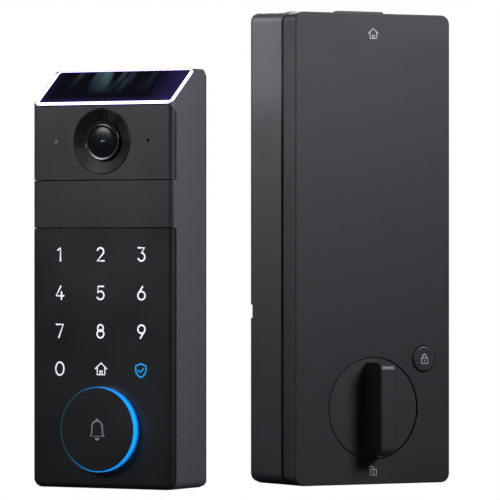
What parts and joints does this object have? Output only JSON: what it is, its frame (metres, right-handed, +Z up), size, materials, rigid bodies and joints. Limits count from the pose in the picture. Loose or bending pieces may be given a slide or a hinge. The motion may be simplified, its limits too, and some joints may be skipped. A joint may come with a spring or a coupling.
{
  "type": "keypad smart lock",
  "caption": "Two-part door lock: outer keypad with camera, palm window and doorbell button, and inner unit with thumbturn, cover, battery and gear train.",
  "frame": {"origin": "on the surface that both units stand on, under the middle of the whole object", "axes": "+Z up, +X to the right and -Y towards the viewer; each unit is turned 28.5 degrees about Z, the keypad unit to the left and the thumbturn unit to the right"},
  "size_m": [0.185, 0.1184, 0.2115],
  "materials": {
    "dark_metal": "satin dark grey die casting",
    "black_panel": "satin near-black plastic",
    "touch_glass": "smooth near-black touch panel",
    "foam": "matt black foam rubber",
    "steel": "zinc-plated steel",
    "black_plastic": "black moulded plastic",
    "clear_glass": "clear coated lens",
    "smoked_glass": "glossy infrared-black window",
    "circuit_board": "green solder mask",
    "milky_plastic": "milky light guide",
    "blue_light": "blue light guide",
    "socket_steel": "drawn steel shell",
    "doorbell_black": "smooth near-black cap",
    "plate_black": "matt black plate",
    "grey_housing": "satin blue-grey",
    "frame_plastic": "black moulded plastic",
    "grey_cover": "satin dark grey",
    "battery_shell": "black battery case",
    "contact_brass": "plain brass",
    "grey_knob": "satin dark grey",
    "zinc": "cast zinc",
    "gear_plastic": "natural acetal",
    "motor_can": "nickel-plated can"
  },
  "bodies": {
    "exterior_unit": {"exterior_housing": "dark_metal", "exterior_gasket": "foam", "exterior_back_plate": "steel", "mounting_posts": "steel", "back_plate_screws": "steel", "camera_panel": "black_panel", "middle_panel": "black_panel", "keypad_panel": "touch_glass", "camera_bezel": "black_plastic", "lens_barrel": "black_plastic", "lens_cover": "clear_glass", "lens_element": "clear_glass", "camera_board": "circuit_board", "light_sensor_window": "smoked_glass", "microphone": "black_plastic", "presence_sensor": "black_plastic", "light_guide": "milky_plastic", "led_board": "circuit_board", "palm_window": "smoked_glass", "palm_sensor_module": "black_plastic", "keypad_board": "circuit_board", "exterior_main_board": "circuit_board", "harness_socket": "black_plastic", "speaker": "black_plastic", "usb_port": "socket_steel", "doorbell_light_ring": "blue_light", "doorbell_switch": "black_plastic"},
    "doorbell": {"doorbell_button": "doorbell_black"},
    "interior_unit": {"mounting_plate": "plate_black", "plate_screws": "steel", "interior_housing": "grey_housing", "interior_frame": "frame_plastic", "battery_contacts": "contact_brass", "spindle_bush": "contact_brass", "idler_pin": "steel", "gear_plate": "steel", "motor": "motor_can", "interior_main_board": "circuit_board", "buzzer": "black_plastic", "interior_socket": "black_plastic", "lock_switch": "black_plastic", "tab_spring": "motor_can"},
    "cover": {"front_cover": "grey_cover"},
    "battery": {"battery_pack": "battery_shell"},
    "thumbturn": {"thumbturn_knob": "grey_knob", "spindle": "zinc", "spindle_gear": "gear_plastic", "tailpiece": "steel"},
    "idler": {"idler_gear": "gear_plastic"},
    "pinion": {"motor_pinion": "contact_brass"},
    "lock_key": {"lock_button": "grey_knob"},
    "catch": {"release_tab": "grey_knob"}
  },
  "joints": [
    {"name": "doorbell_press", "type": "slide", "parent": "exterior_unit", "child": "doorbell", "axis": [0.4772, 0.8788, 0], "range_m": [0, 0.0005], "stiffness_N_per_m": 2000, "springref_m": -0.0002},
    {"name": "unit_lift", "type": "slide", "parent": "exterior_unit", "child": "interior_unit", "axis": [0, 0, 1], "range_m": [0, 0.25]},
    {"name": "cover_pull", "type": "slide", "parent": "interior_unit", "child": "cover", "axis": [0.4772, -0.8788, 0], "range_m": [0, 0.08]},
    {"name": "battery_pull", "type": "slide", "parent": "interior_unit", "child": "battery", "axis": [0.4772, -0.8788, 0], "range_m": [0, 0.04]},
    {"name": "thumbturn_turn", "type": "hinge", "parent": "interior_unit", "child": "thumbturn", "pos_m": [0.04886, 0.01003, 0.0339], "axis": [0.4772, -0.8788, 0], "range_deg": [-90, 90]},
    {"name": "idler_turn", "type": "hinge", "parent": "interior_unit", "child": "idler", "pos_m": [0.04184, 0.00622, 0.0531], "axis": [0.4772, -0.8788, 0], "range_deg": [-301, 301]},
    {"name": "pinion_turn", "type": "hinge", "parent": "interior_unit", "child": "pinion", "pos_m": [0.04184, 0.00622, 0.0723], "axis": [0.4772, -0.8788, 0], "range_deg": [-901, 901]},
    {"name": "lock_press", "type": "slide", "parent": "interior_unit", "child": "lock_key", "axis": [-0.4772, 0.8788, 0], "range_m": [0, 0.0008], "stiffness_N_per_m": 1500, "springref_m": -0.0002},
    {"name": "catch_press", "type": "slide", "parent": "interior_unit", "child": "catch", "axis": [0, 0, -1], "range_m": [0, 0.0012], "stiffness_N_per_m": 1000, "springref_m": -0.0005, "deforming": ["tab_spring"]}
  ],
  "couplings": [
    {"joint": "battery_pull", "follows": "cover_pull", "ratio": 0.5},
    {"joint": "idler_turn", "follows": "thumbturn_turn", "ratio": -3.3333},
    {"joint": "pinion_turn", "follows": "thumbturn_turn", "ratio": 10}
  ]
}
